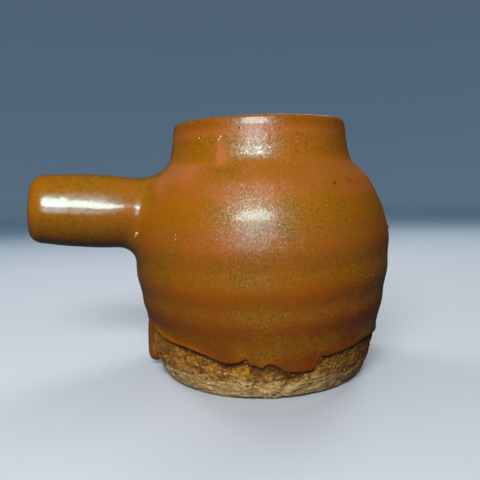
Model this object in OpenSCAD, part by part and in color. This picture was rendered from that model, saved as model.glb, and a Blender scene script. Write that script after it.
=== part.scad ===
// Side-handled stoneware pot: a round-bellied jar with a straight neck and one hollow stub handle.
// Origin: centre of the foot's resting face. +Z runs up to the mouth, and the handle points along -X.
// Every outline is a list of [radius, height] points in millimetres, from the foot upwards.

/* [Body] */
// Height from the foot to the top of the lip
pot_h = 95.8; // [88:0.1:102]
// Largest radius of the belly, over the clay
belly_r = 48.7; // [46:0.1:51]
// Outer radius of the neck, over the clay
neck_r = 33; // [31.5:0.1:34.5]
// Radius of the foot at its resting face
foot_r = 38.5; // [36:0.1:40]
// Thickness of the slab that the pot stands on
foot_h = 7; // [6:0.5:9]
// Clay thickness of the belly
belly_wall_t = 4.6; // [3.8:0.1:5.4]
// Clay thickness of the neck
neck_wall_t = 3.5; // [3:0.1:4]

/* [Throwing rings] */
// Height of the lowest throwing ring
ring_first = 15.2; // [12:0.1:18]
// Height from one throwing ring to the next
ring_pitch = 11.6; // [8:0.1:13]
// How far a ring stands out from the wall
ring_depth = 0.35; // [0:0.05:0.6]

/* [Handle] */
// Distance from the pot's axis to the clay end of the handle
handle_reach = 85.2; // [80:0.1:92]
// Clay radius of the handle where it leaves the belly
handle_r = 13; // [12:0.1:14]
// Clay radius of the handle near its end
handle_end_r = 12.1; // [11.5:0.1:13]
// Radius of the hollow inside the handle
handle_bore_r = 7.5; // [6:0.1:8.5]
// Height at which the handle's axis crosses the pot's axis
handle_z = 60.8; // [59:0.1:62]
// How far the handle's end is raised, in degrees
handle_rise = 2.6; // [0:0.1:5]

/* [Glaze] */
// Height of the lower edge of the glaze
glaze_z = 16; // [14.5:0.1:18]
// Thickness of the glaze outside
glaze_t = 0.7; // [0.5:0.05:0.9]
// Thickness of the glaze inside, and over the lip
inner_glaze_t = 0.5; // [0.4:0.05:0.6]
// Thickness of the runs that hang below the glaze edge
run_t = 1.2; // [1:0.05:1.5]

/* [Hidden] */
$fn = 96;

// Colours of the fired clay and of the ash-brown glaze
CLAY = [0.55, 0.42, 0.24];
SLIP = [0.50, 0.36, 0.20];
GLAZE = [0.60, 0.34, 0.08];
DRIP = [0.48, 0.22, 0.04];

// Straight samples in each span of an outline
SPAN_STEPS = 4;
// Clay radius of the lip's round top, and the height of its centre
lip_r = neck_wall_t / 2;
lip_z = pot_h - inner_glaze_t - lip_r;
// Wall of the mouth: a true cylinder of this clay radius above this height
mouth_r = neck_r - neck_wall_t;
mouth_z = 0.877 * pot_h;
// Height over which the belly's wall thins to the neck's
thin_from = 0.74 * pot_h;
thin_to = 0.86 * pot_h;
// Round corner between the floor and the wall
corner_r = 6;
// Depth of the groove where the wall stands on the foot slab
groove = 0.5;
// Edge break of the resting face
foot_edge = 0.7;

function mix(a, b, t) = a + (b - a) * t;
function clamp01(t) = max(0, min(1, t));
function smooth(t) = let (u = clamp01(t)) u * u * (3 - 2 * u);
function toward_belly(from_r, share) = mix(from_r, belly_r, share);

// Outside of the clay. KNOT_WALL and KNOT_GLAZE start the wall and the glaze; KNOT_NECK ends the belly
OUTLINE = [
    [foot_r, 0],
    [toward_belly(foot_r, 0.34), foot_h],
    [toward_belly(foot_r, 0.50), glaze_z],
    [toward_belly(foot_r, 0.66), 0.228 * pot_h],
    [toward_belly(foot_r, 0.80), 0.307 * pot_h],
    [toward_belly(foot_r, 0.93), 0.397 * pot_h],
    [belly_r, 0.496 * pot_h],
    [toward_belly(neck_r, 0.955), 0.595 * pot_h],
    [toward_belly(neck_r, 0.76), 0.694 * pot_h],
    [toward_belly(neck_r, 0.50), 0.773 * pot_h],
    [toward_belly(neck_r, 0.165), 0.833 * pot_h],
    [toward_belly(neck_r, 0.045), 0.873 * pot_h],
    [neck_r, 0.922 * pot_h],
    [neck_r, lip_z]
];
KNOT_WALL = 1;
KNOT_GLAZE = 2;
KNOT_NECK = 10;
KNOT_LIP = len(OUTLINE) - 1;

// A point of the Catmull-Rom curve through four knots
function curve_point(a, b, c, d, t) =
    0.5 * (2 * b + (c - a) * t + (2 * a - 5 * b + 4 * c - d) * t * t + (3 * b - a - 3 * c + d) * t * t * t);
function knot(k, i) = k[max(0, min(len(k) - 1, i))];
function curve(k, steps) = concat(
    [for (i = [0:len(k) - 2], j = [0:steps - 1])
        curve_point(knot(k, i - 1), k[i], k[i + 1], knot(k, i + 2), j / steps)],
    [k[len(k) - 1]]
);
// Throwing rings fade in above the glaze edge and out below the neck
function ring_at(z) =
    ring_depth * cos(360 * (z - ring_first) / ring_pitch)
    * smooth((z - glaze_z - 2) / 6) * smooth((0.76 * pot_h - z) / 12);

function slice(p, from, to) = [for (i = [from:to]) p[i]];
function reversed(p) = [for (i = [len(p) - 1:-1:0]) p[i]];
function unit(v) = v / norm(v);
// Outward normal of an outline that runs upwards
function normal_at(p, i) =
    let (d = unit(p[min(len(p) - 1, i + 1)] - p[max(0, i - 1)])) [d[1], -d[0]];
function arc(centre, r, from, to, steps) =
    [for (i = [0:steps]) let (a = mix(from, to, i / steps)) centre + r * [cos(a), sin(a)]];

clay_out = [for (p = curve(OUTLINE, SPAN_STEPS)) p + [ring_at(p[1]), 0]];
at_wall = KNOT_WALL * SPAN_STEPS;
at_glaze = KNOT_GLAZE * SPAN_STEPS;
at_neck = KNOT_NECK * SPAN_STEPS;
at_lip = KNOT_LIP * SPAN_STEPS;

function wall_at(z) = mix(belly_wall_t, neck_wall_t, smooth((z - thin_from) / (thin_to - thin_from)));
// Inside of the clay: the outside moved in by the wall
clay_in = [for (i = [0:at_lip]) clay_out[i] - wall_at(clay_out[i][1]) * normal_at(clay_out, i)];
// Floor, round corner and wall, from the axis upwards. The wall takes over above the corner
floor_top = foot_h + corner_r;
floor_r = [for (i = [0:at_lip]) if (clay_in[i][1] > floor_top) clay_in[i][0]][0] - corner_r;
corner = arc([floor_r, floor_top], corner_r, -90, 0, 6);
wall_in = [for (i = [0:at_neck]) if (clay_in[i][1] > floor_top + 0.5) clay_in[i]];
// The neck's inside runs into the mouth, which is one true cylinder up to the lip
neck_in = concat(
    [for (i = [at_neck:at_lip]) if (clay_in[i][1] < mouth_z - 0.5) clay_in[i]],
    [[mouth_r, mouth_z]]
);

lip_centre = [neck_r - lip_r, lip_z];

// Solid of revolution of the clay with its inside filled: cuts whatever is joined to the wall
module clay_core() {
    rotate_extrude() polygon(concat([[0, 0]], slice(clay_out, 0, at_lip), [[0, lip_z]]));
}

module foot_disc() {
    side = slice(clay_out, 1, at_wall - 1);
    color(CLAY) rotate_extrude() polygon(concat(
        [[0, 0], [foot_r - foot_edge, 0], [foot_r + 0.2, foot_edge]],
        side,
        [clay_out[at_wall] - [groove, 0], [0, foot_h]]
    ));
}

module belly_wall() {
    color(CLAY) rotate_extrude() polygon(concat(
        [clay_out[at_wall] - [groove, 0]],
        slice(clay_out, at_wall + 1, at_neck),
        reversed(wall_in),
        reversed(corner)
    ));
}

module neck_collar() {
    lip = arc(lip_centre, lip_r, 0, 180, 10);
    color(CLAY) rotate_extrude() polygon(concat(
        slice(clay_out, at_neck, at_lip - 1),
        lip,
        reversed(neck_in)
    ));
}

// The handle's own frame: +Z along its axis, away from the pot, starting on the pot's axis
module along_handle() {
    translate([0, 0, handle_z]) rotate([0, handle_rise - 90, 0]) children();
}

// Where the handle's outline starts, inside the wall, and where its hand hold swells most
HANDLE_ROOT = 36;
HANDLE_SWELL = 62;
HANDLE_CORNER = 4;
// Distance from the pot's axis to the blind end of the hollow, and the bevel at its mouth
BORE_FLOOR = 50;
BORE_EDGE = 1;

// Side of the handle, grown by the given thickness, with its rounded end
function handle_side(grow) = concat(
    curve([
        [handle_r, HANDLE_ROOT],
        [handle_r, 50],
        [handle_r + 0.1, HANDLE_SWELL],
        [mix(handle_r, handle_end_r, 0.6), 74],
        [handle_end_r, handle_reach - HANDLE_CORNER]
    ] + [for (i = [0:4]) [grow, 0]], SPAN_STEPS),
    slice(arc([handle_end_r - HANDLE_CORNER, handle_reach - HANDLE_CORNER],
        HANDLE_CORNER + grow, 0, 90, 8), 1, 8)
);

module handle_solid() {
    along_handle() rotate_extrude() polygon(concat(
        [[0, HANDLE_ROOT]], handle_side(0), [[0, handle_reach]]
    ));
}

module handle_bore() {
    along_handle() rotate_extrude() polygon([
        [0, BORE_FLOOR],
        [handle_bore_r, BORE_FLOOR],
        [handle_bore_r, handle_reach - BORE_EDGE],
        [handle_bore_r + BORE_EDGE, handle_reach],
        [handle_bore_r + BORE_EDGE, handle_reach + 2],
        [0, handle_reach + 2]
    ]);
}

module handle_tube() {
    color(CLAY) difference() {
        handle_solid();
        clay_core();
        handle_bore();
    }
}

// The slip fillet stands square to the belly where the handle leaves it
FILLET_AT = [-47.4, 0, 61.9];
FILLET_TILT = 16;
// Hollow flare of the fillet: [radius over the handle's, height above the belly], down into the wall
FLARE = [[0.5, 4.8], [0.9, 3], [1.7, 1.2], [3, -0.6], [4.8, -2.4], [6.6, -5], [7.4, -7]];
function fillet_side(grow) = concat(
    [[handle_r - 2, FLARE[0][1] + 0.5 + grow]],
    [for (p = FLARE) p + [handle_r + grow, grow]],
    [[handle_r - 2, FLARE[len(FLARE) - 1][1] + grow]]
);

module fillet_solid(grow) {
    translate(FILLET_AT) rotate([0, FILLET_TILT - 90, 0]) rotate_extrude() polygon(fillet_side(grow));
}

module handle_slip_fillet() {
    color(SLIP) difference() {
        fillet_solid(0);
        handle_solid();
        clay_core();
    }
}

// Glaze thickness outside: full on the body, thin at the lip, and gathered into a roll at its edge
ROLL = 0.7;
function outer_t(z) =
    mix(glaze_t, inner_glaze_t, smooth((z - mouth_z) / (lip_z - mouth_z)))
    + ROLL * (1 - smooth((z - glaze_z) / 3));
glaze_out = [for (i = [0:at_lip]) clay_out[i] + outer_t(clay_out[i][1]) * normal_at(clay_out, i)];

// Solid of revolution of the glazed body with its inside filled
module glazed_core() {
    rotate_extrude() polygon(concat(
        [[0, glaze_z]], slice(clay_out, at_glaze, at_glaze), slice(glaze_out, at_glaze, at_lip), [[0, lip_z]]
    ));
}

module outer_glaze() {
    color(GLAZE) difference() {
        rotate_extrude() polygon(concat(
            slice(glaze_out, at_glaze, at_lip - 1),
            arc(lip_centre, lip_r + inner_glaze_t, 0, 90, 5),
            arc(lip_centre, lip_r, 90, 0, 5),
            reversed(slice(clay_out, at_glaze, at_lip - 1))
        ));
        handle_solid();
        fillet_solid(0);
    }
}

// Inside of the glaze, from the axis over the floor and the corner to the lip
function glazed_inside(p) = [for (i = [0:len(p) - 1]) p[i] - inner_glaze_t * normal_at(p, i)];

module inner_glaze() {
    clay = concat(
        [[0, foot_h]], corner, wall_in, slice(neck_in, 1, len(neck_in) - 1), arc(lip_centre, lip_r, 180, 90, 5)
    );
    face = concat(
        [[0, foot_h + inner_glaze_t]],
        arc([floor_r, floor_top], corner_r - inner_glaze_t, -90, 0, 6),
        glazed_inside(wall_in),
        [for (p = slice(neck_in, 1, len(neck_in) - 1)) p - [inner_glaze_t, 0]],
        arc(lip_centre, lip_r + inner_glaze_t, 180, 90, 5)
    );
    color(GLAZE) rotate_extrude() polygon(concat(clay, reversed(face)));
}

module handle_glaze() {
    color(GLAZE) difference() {
        union() {
            along_handle() rotate_extrude() polygon(concat(
                [[0, HANDLE_ROOT]], handle_side(glaze_t), [[0, handle_reach + glaze_t]]
            ));
            fillet_solid(glaze_t);
        }
        handle_solid();
        fillet_solid(0);
        handle_bore();
        glazed_core();
        clay_core();
    }
}

// Tongues of glaze below the edge: [azimuth, width, height of the tip]
RUNS = [[-90, 12, 10.2], [-106, 5, 12.3], [-119, 9, 13.6], [35, 8, 12.5], [118, 10, 11.5]];

module glaze_runs() {
    base = slice(clay_out, at_wall, at_glaze);
    face = [for (i = [0:len(base) - 1]) base[i] + run_t * normal_at(base, i)];
    color(DRIP) intersection() {
        rotate_extrude() polygon(concat(face, reversed(base)));
        union() for (r = RUNS) {
            half = r[1] / 2;
            rotate([0, 0, r[0] + 90]) rotate([90, 0, 0]) linear_extrude(2 * belly_r)
                union() {
                    translate([0, r[2] + half]) circle(half);
                    translate([-half, r[2] + half]) square([r[1], glaze_z]);
                }
        }
    }
}

// The one long drip that hangs clear of the foot, below the handle
DRIP_AZIMUTH = 170;
DRIP_OUT = 43.3;
DRIP_TIP = 2.4;
DRIP_BULB = 2.5;
DRIP_NECK = 1.8;

module glaze_drip() {
    shoulder = 55;
    bulb = arc([0, DRIP_TIP + DRIP_BULB], DRIP_BULB, -90, shoulder, 10);
    color(DRIP) difference() {
        rotate([0, 0, DRIP_AZIMUTH]) translate([DRIP_OUT, 0, 0]) rotate_extrude() polygon(concat(
            bulb,
            [[DRIP_NECK, mix(DRIP_TIP + 2 * DRIP_BULB, glaze_z, 0.5)], [DRIP_NECK, glaze_z], [0, glaze_z]]
        ));
        rotate_extrude() polygon(concat(
            [[0, 0]], slice(clay_out, 0, at_glaze - 1), [clay_out[at_glaze + 2], [0, clay_out[at_glaze + 2][1]]]
        ));
    }
}

foot_disc();
belly_wall();
neck_collar();
handle_tube();
handle_slip_fillet();
outer_glaze();
inner_glaze();
handle_glaze();
glaze_runs();
glaze_drip();
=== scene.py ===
"""Side-handled stoneware pot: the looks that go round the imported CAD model.

Sizes inside the shape functions are millimetres in the row frame (+Z up, the handle along -X, the
foot's resting face at z = 0). A mesh is scaled to metres once, when it is made. Azimuths are degrees
about +Z from +X, so the handle is at 180 and the side seen in front is near -105.
"""

import math

import bmesh
import bpy
import numpy as np
from mathutils import Matrix, Vector


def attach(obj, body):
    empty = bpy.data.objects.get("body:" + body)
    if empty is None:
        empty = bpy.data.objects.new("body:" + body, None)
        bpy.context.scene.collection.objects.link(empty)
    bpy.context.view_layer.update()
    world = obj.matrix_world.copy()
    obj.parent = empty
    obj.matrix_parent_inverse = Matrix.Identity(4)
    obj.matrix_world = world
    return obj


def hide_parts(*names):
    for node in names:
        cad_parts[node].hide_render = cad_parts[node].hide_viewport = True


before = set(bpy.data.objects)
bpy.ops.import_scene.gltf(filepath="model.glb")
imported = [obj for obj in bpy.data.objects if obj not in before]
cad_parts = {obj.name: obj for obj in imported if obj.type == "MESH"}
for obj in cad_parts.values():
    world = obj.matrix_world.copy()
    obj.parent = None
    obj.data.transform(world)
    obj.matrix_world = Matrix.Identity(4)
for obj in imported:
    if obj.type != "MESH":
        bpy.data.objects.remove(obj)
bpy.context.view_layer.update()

MM = 0.001

# -------- sizes

FOOT_HEIGHT = 7.0
GLAZE = 0.7
INNER_GLAZE = 0.5
# Outside of the clay: (height, radius)
CLAY_OUTLINE = (
    (-6, 35.9), (0, 38.6), (3, 40.3), (7, 42.0), (11.5, 42.95), (16, 43.6), (21.8, 45.0), (29.5, 46.5),
    (38, 47.9), (47.5, 48.65), (57, 48.0), (66.5, 44.8), (70.5, 42.9), (74.2, 40.75), (77.2, 37.9),
    (79.8, 35.35), (82, 34.25), (84.5, 33.6), (88.4, 33.0), (93, 32.75), (98, 32.75),
)
# The lip turns in, runs up a bevel and over its crest: (degrees it has turned by, radius of that bend)
LIP_BENDS = ((0, 0.0), (8, 3.0), (15, 20.0), (90, 0.8))
LIP_TOP, LIP_HEIGHT = 95.2, 93.4
NECK_RADIUS, MOUTH_RADIUS = 32.75, 29.5
CORNER_RADIUS = 6.0
# Height at which the neck's collar stands on the wall
COLLAR_FOOT = 78

# Throwing rings: (height, half width, how far it stands out, or sinks in)
RINGS = (
    (15.6, 4.2, 0.14), (21.6, 3.6, -0.14), (27.8, 4.0, 0.20), (33.4, 3.8, -0.20), (39.4, 4.0, 0.22),
    (45.6, 3.8, -0.20), (51.8, 4.4, 0.18), (58.8, 4.0, -0.12), (64.8, 3.8, 0.04), (74.6, 2.4, 0.08),
)
# Colour bands that the rings left in the glaze: (height, half width, rust above 0 and olive below)
BANDS = (
    (14.5, 3.6, 0.8), (21.4, 3.6, -0.8), (26.8, 3.2, 0.9), (32.4, 3.4, -0.8), (37.8, 3.6, 1.0),
    (44.0, 3.8, -0.8), (54.0, 5.0, 0.8), (60.0, 2.6, -0.15), (64.5, 3.6, -0.6), (72.8, 5.0, 1.0),
    (82.5, 4.0, -0.25), (88.0, 4.5, -0.15),
)

# Lower edge of the glaze: (azimuth, height)
GLAZE_EDGE = (
    (-180, 20.8), (-166, 20.9), (-153, 18.4), (-135, 16.6), (-129, 15.2), (-124, 13.7), (-116, 14.1),
    (-114.2, 14.6), (-113, 15.3), (-111.8, 15.2), (-111, 13.7),
    (-108.2, 13.2), (-106.8, 12.5), (-105.2, 12.3),
    (-104, 13.2), (-100.6, 13.3), (-97.9, 12.1), (-96, 10.9), (-91.7, 10.3), (-85.3, 10.2), (-82.4, 10.8),
    (-81.3, 12.6), (-80.2, 14.1), (-75.8, 14.5), (-64, 15.5), (-49.5, 16.9), (-36, 16.2), (-22, 15.4),
    (-8, 16.6), (8, 14.2), (22, 15.4), (31, 12.6), (38, 12.0), (45, 14.8), (60, 16.2), (76, 14.8), (90, 15.8),
    (104, 13.8), (112, 11.6), (121, 11.2), (128, 14.0), (140, 16.2), (152, 17.6), (162, 19.0), (170, 20.2),
)
# The bead along that edge: how thick it is, and how far up it is rounded and thinned out
BEAD, BEAD_ROUND, BEAD_FADE = 1.15, 0.8, 3.2
# The roll that the glaze gathered into at the front left: height, middle and spread
ROLL, ROLL_AZIMUTH, ROLL_SPREAD = 0.8, -149, 18
# Where the dark band under the glaze's edge, scorched clay and painted shadow, reaches further down: middle
# and spread
SCORCH_SHADOW_AZIMUTH, SCORCH_SHADOW_SPREAD = -102, 14

HANDLE_Z, HANDLE_RISE = 60.8, math.radians(2.6)
# Side of the glazed handle: (distance from the pot's axis, radius)
HANDLE_SIDE = (
    (30, 12.9), (50, 12.95), (55, 13.15), (62, 13.4), (68, 13.3), (74, 12.95), (79, 12.5), (83, 12.15),
)
# The handle bends up a little towards its end: (distance from the pot's axis, rise)
HANDLE_BEND = ((30, -0.1), (54, -0.2), (62, 0.0), (72, 0.25), (84, 0.75))
HANDLE_END = 85.9
# How far the end's top lies back, the radius of the end's rim, and its rounding along the handle: at the
# top, underneath, and how much more there is at the front
HANDLE_SLANT, HANDLE_RIM, ROUND_TOP, ROUND_UNDER, ROUND_FRONT = 0.6, 8.35, 6.0, 4.6, 1.8
BORE_RADIUS, BORE_FLOOR = 7.5, 50.0
HANDLE_GLAZE = 0.65
# The flat that the potter pressed along the handle's front: its place round the handle, its distance from
# the handle's axis, and its least depth. The flatness is 1 where it would be quite plane.
FLAT_PHI, FLAT_AT, FLAT_DEPTH, FLATNESS = math.radians(69.5), 12.75, 0.32, 0.74
# It turns up towards the root and down towards the end, where its face leans over a width of about this
FLAT_ROOT_TURN, FLAT_END_TURN, LEAN_WIDTH = math.radians(6), math.radians(4), 0.52
# Fillet: how far along the handle, and how far out over the belly, it reaches, and how much less of the
# first there is at the front
FILLET_ALONG, FILLET_OUT, FILLET_LESS = 6.2, 6.0, 0.3

# Outline of the long drip: (height, distance out, half width, half depth)
DRIP = (
    (25.5, 44.6, 0.4, 0.2), (23.5, 44.6, 2.0, 0.6), (20.5, 44.5, 2.3, 0.9), (17, 44.4, 2.1, 1.4),
    (13.5, 44.2, 2.0, 1.8), (10, 43.9, 2.3, 2.2), (7, 43.5, 2.7, 2.6), (5.0, 43.3, 2.7, 2.6),
    (3.6, 43.1, 2.1, 2.1), (2.8, 43.0, 1.3, 1.35), (2.42, 43.0, 0.45, 0.5),
)
DRIP_AZIMUTH = 169.5
# A pinkish streak runs down from this grain, and a wider patch of painted sheen lies round the neck's right:
# middle, spread
STREAK_AZIMUTH = -127.7
PATCH_AZIMUTH, PATCH_SPREAD = -74, 24

# -------- noise and curves


def lattice(seed):
    rng = np.random.default_rng(seed)
    turns = rng.permutation(256)
    arrows = rng.normal(size=(256, 3))
    return turns, arrows / np.linalg.norm(arrows, axis=1, keepdims=True)


LATTICES = {seed: lattice(seed) for seed in range(12)}


def noise(points, size, seed=0):
    """Gradient noise, about -1 to 1, with features of the given size in millimetres."""
    turns, arrows = LATTICES[seed]
    p = np.asarray(points, float) / size + 31.7 * (seed + 1)
    cell = np.floor(p).astype(int)
    f = p - cell
    w = f * f * f * (f * (f * 6 - 15) + 10)
    total = np.zeros(p.shape[:-1])
    for corner in range(8):
        step = np.array([corner & 1, corner >> 1 & 1, corner >> 2 & 1])
        c = (cell + step) & 255
        k = turns[(turns[(turns[c[..., 0]] + c[..., 1]) & 255] + c[..., 2]) & 255]
        share = np.prod(np.where(step == 1, w, 1 - w), axis=-1)
        total += share * np.einsum("...i,...i->...", arrows[k], f - step)
    return 1.6 * total


def rough(points, size, octaves, seed=0, gain=0.55):
    """Several sizes of noise, each half as large as the one before."""
    total, weight, scale = 0.0, 1.0, 0.0
    for i in range(octaves):
        total = total + weight * noise(points, size / 2**i, (seed + i) % len(LATTICES))
        scale += weight
        weight *= gain
    return total / scale


def smooth(t):
    t = np.clip(t, 0.0, 1.0)
    return t * t * (3 - 2 * t)


def between(x, low, rise, high, fall):
    """Rises smoothly from 0 to 1 above low, and falls again above high."""
    return smooth((x - low) / rise) * (1 - smooth((x - high) / fall))


def mix(a, b, t):
    return a + (b - a) * t


def spline(knots, at, period=None):
    """Cubic Hermite curve with limited slopes through (x, y) knots."""
    x, y = np.array(knots, float).T
    if period:
        x = np.concatenate([x - period, x, x + period])
        y = np.concatenate([y, y, y])
    step = np.diff(y) / np.diff(x)
    slope = np.zeros_like(y)
    slope[1:-1] = (step[:-1] * np.diff(x)[1:] + step[1:] * np.diff(x)[:-1]) / (x[2:] - x[:-2])
    slope[0], slope[-1] = step[0], step[-1]
    at = np.asarray(at, float)
    i = np.clip(np.searchsorted(x, at) - 1, 0, len(x) - 2)
    h = x[i + 1] - x[i]
    t = np.clip((at - x[i]) / h, 0, 1)
    return (
        y[i] * (1 + 2 * t) * (1 - t) ** 2 + slope[i] * h * t * (1 - t) ** 2
        + y[i + 1] * t * t * (3 - 2 * t) + slope[i + 1] * h * t * t * (t - 1)
    )


def around(theta, radius, z):
    """Points on circles about the pot's axis."""
    theta, radius, z = np.broadcast_arrays(theta, radius, z)
    return np.stack([radius * np.cos(theta), radius * np.sin(theta), z], axis=-1)


def columns(count):
    return np.arange(count) * math.tau / count


def turn_from(theta, azimuth):
    """How far round the pot from an azimuth, in degrees from -180 to 180."""
    return (np.degrees(theta) - azimuth + 180) % 360 - 180


# -------- the pot's surfaces


def drift(theta, z):
    """How far the rings and bands wander up and down the wall."""
    return 1.2 * noise(around(theta, 30.0, z * 0.25), 26, 1) + 0.5 * np.sin(theta + 0.8)


def relief(theta, z):
    """Throwing rings, which stand out where it is above 0."""
    z = z - drift(theta, z)
    return sum(depth * np.exp(-(((z - h) / (0.62 * w)) ** 2)) for h, w, depth in RINGS)


def band(theta, z):
    """1 where the glaze ran thin and rusty, -1 where it pooled olive."""
    z = z - drift(theta, z)
    total = 0.0
    for height, wide, tone in BANDS:
        up = z - height
        total = total + tone * np.exp(-((up / (np.where(up > 0, 0.62, 0.95) * wide)) ** 2))
    return total


def wobble(theta, z):
    """The hand's unevenness: slow swells all round, and none at the resting face."""
    p = around(theta, 40.0, z)
    lump = 0.16 * noise(p, 34, 2) + 0.06 * noise(p, 11, 3)
    flat = 0.55 * np.clip(-np.cos(theta), 0, 1) ** 2 * np.exp(-(((z - 21) / 7) ** 2))
    return lump * smooth(z / 14) - 0.10 * smooth(z / 20) - flat


def clay_radius(theta, z):
    return spline(CLAY_OUTLINE, z) + relief(theta, z) * smooth((z - 9) / 8) + wobble(theta, z)


def edge_height(theta):
    """Height of the glaze's lower edge, with the small hooks and bites of a melt that stopped."""
    a = np.degrees(theta) % 360
    knots = sorted((k % 360, h) for k, h in GLAZE_EDGE)
    p = around(theta, 43.0, 0.0)
    return spline(knots, a, period=360) + 0.14 * noise(p, 4.5, 4) + 0.13 * noise(p, 1.6, 5)


def glaze_depth(theta, z, edge):
    """Thickness of the outer glaze: rounded off at its edge, gathered just above it, thin at the lip."""
    up = np.maximum(z - edge, 0.0)
    round_off = np.sqrt(np.clip(1 - (1 - np.clip(up / BEAD_ROUND, 0, 1)) ** 2, 0, 1))
    p = around(theta, 43.0, z)
    sides = 0.75 + 0.30 * np.cos(2 * (theta - math.radians(-10)))
    bead = (BEAD - GLAZE) * (sides + 0.3 * noise(p, 7, 6)) * (1 - smooth((up - 0.6) / BEAD_FADE))
    rolled = np.exp(-((turn_from(theta, ROLL_AZIMUTH) / ROLL_SPREAD) ** 4))
    bead = bead + ROLL * rolled * np.exp(-(((up - 0.55) / 0.6) ** 2))
    lip = smooth((z - 86) / 6)
    return round_off * (mix(GLAZE, INNER_GLAZE, lip) + bead)


def sag(theta, z):
    """Vertical shift of the lip: it isn't quite level, and a little wavy."""
    high = smooth((z - 70) / 25)
    return high * (-0.32 + 0.26 * np.cos(theta - math.radians(-14)) + 0.08 * np.sin(3 * theta + 1.0))


def glazed_radius(theta, z):
    return clay_radius(theta, z) + glaze_depth(theta, z, edge_height(theta))


def arc(centre_r, centre_z, radius, start, end, count):
    """(radius, height) pairs on an arc, angles in degrees from the outward direction."""
    a = np.radians(np.linspace(start, end, count))
    return [(centre_r + radius * math.cos(t), centre_z + radius * math.sin(t)) for t in a]


def lip_bends():
    """Each bend as (start, end, centre's radius, centre's height, bend's radius), and the crest's radius."""
    bends, r, z = [], NECK_RADIUS, 0.0
    for (start, _), (end, bend) in zip(LIP_BENDS, LIP_BENDS[1:]):
        a, b = math.radians(start), math.radians(end)
        bends.append((a, b, r - bend * math.cos(a), z - bend * math.sin(a), bend))
        r += bend * (math.cos(b) - math.cos(a))
        z += bend * (math.sin(b) - math.sin(a))
    return [(a, b, cr, cz + LIP_TOP - z, bend) for a, b, cr, cz, bend in bends], r


BENDS, CREST_RADIUS = lip_bends()
LIP_START = BENDS[0][3]


def lip_point(turn, grow):
    """(radius, height) on the lip, where turn runs from outwards over upwards to inwards."""
    for _, end, r, z, bend in BENDS:
        if turn <= end:
            return r + (bend + grow) * math.cos(turn), z + (bend + grow) * math.sin(turn)
    across, drop = CREST_RADIUS - MOUTH_RADIUS, LIP_TOP - LIP_HEIGHT
    return CREST_RADIUS + (across + grow) * math.cos(turn), LIP_HEIGHT + (drop + grow) * math.sin(turn)


def lip_rows(theta, grow, start, end, count):
    """Rows over the lip, following the wobble of the neck under it. Turns are in degrees."""
    lean = wobble(theta, LIP_HEIGHT)
    turns = np.linspace(start, end, count)
    turns = np.unique(np.append(turns, [b for b, _ in LIP_BENDS if start < b < end]))
    profile = [lip_point(turn, grow) for turn in np.radians(turns if start < end else turns[::-1])]
    return [(r + lean, z) for r, z in profile]


def inner_outline():
    """(height, radius) knots of the clay's inside, from above the floor's corner to the mouth."""
    wall = [(z, r - mix(4.7, 3.6, smooth((z - 70) / 12))) for z, r in CLAY_OUTLINE if 13 < z < 82]
    return [*wall, (84.5, MOUTH_RADIUS), (88, MOUTH_RADIUS), (93, MOUTH_RADIUS), (98, MOUTH_RADIUS)]


INNER_OUTLINE = inner_outline()
FLOOR_CORNER_Z = FOOT_HEIGHT + CORNER_RADIUS


def inside_radius(theta, z):
    fade = 1 - smooth((z - 74) / 8)
    return spline(INNER_OUTLINE, z) + 1.2 * relief(theta + 0.6, z + 3) * fade + wobble(theta, z)


def floor_reach(theta):
    """Radius at which the floor goes over into the corner."""
    return inside_radius(theta, FLOOR_CORNER_Z) - CORNER_RADIUS


def corner_rows(theta, grow, start, end, count):
    """Rows round the corner of wall and floor, moved inwards by grow. Turns are in degrees."""
    corner = arc(0, FLOOR_CORNER_Z, CORNER_RADIUS - grow, start, end, count)
    return [(floor_reach(theta) + r, z) for r, z in corner]


def inside_rows(theta, grow, count):
    """Rows of the clay's inside, moved inwards by grow, from the mouth down to the floor's centre."""
    heights = np.linspace(LIP_HEIGHT, FLOOR_CORNER_Z + 0.5, count)
    rows = [(inside_radius(theta, z) - grow, z) for z in heights]
    rows += corner_rows(theta, grow, 0, -90, 12)
    for share in (0.9, 0.78, 0.66, 0.54, 0.42, 0.3, 0.18, 0.08):
        swirl = 0.16 * np.cos(12 * share + theta) * smooth(share / 0.3) * smooth((1 - share) / 0.3)
        rows.append((floor_reach(theta) * share, FOOT_HEIGHT + grow + swirl))
    return rows


# -------- meshes


def grid_faces(rows, cols, wrap_rows):
    i = np.arange(rows if wrap_rows else rows - 1)[:, None]
    j = np.arange(cols)[None, :]
    k = (j + 1) % cols
    n = (i + 1) % rows
    return np.stack([i * cols + j, i * cols + k, n * cols + k, n * cols + j], axis=-1).reshape(-1, 4)


def link_mesh(name, verts, faces, values=None):
    """A smooth mesh object from points in millimetres, with its point layers."""
    mesh = bpy.data.meshes.new(name)
    mesh.from_pydata((np.asarray(verts) * MM).tolist(), [], faces)
    for key, value in (values or {}).items():
        mesh.attributes.new(key, "FLOAT", "POINT").data.foreach_set("value", value)
    mesh.polygons.foreach_set("use_smooth", [True] * len(mesh.polygons))
    bm = bmesh.new()
    bm.from_mesh(mesh)
    bmesh.ops.recalc_face_normals(bm, faces=bm.faces)
    bm.to_mesh(mesh)
    bm.free()
    piece = bpy.data.objects.new(name, mesh)
    bpy.context.scene.collection.objects.link(piece)
    return piece


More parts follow.
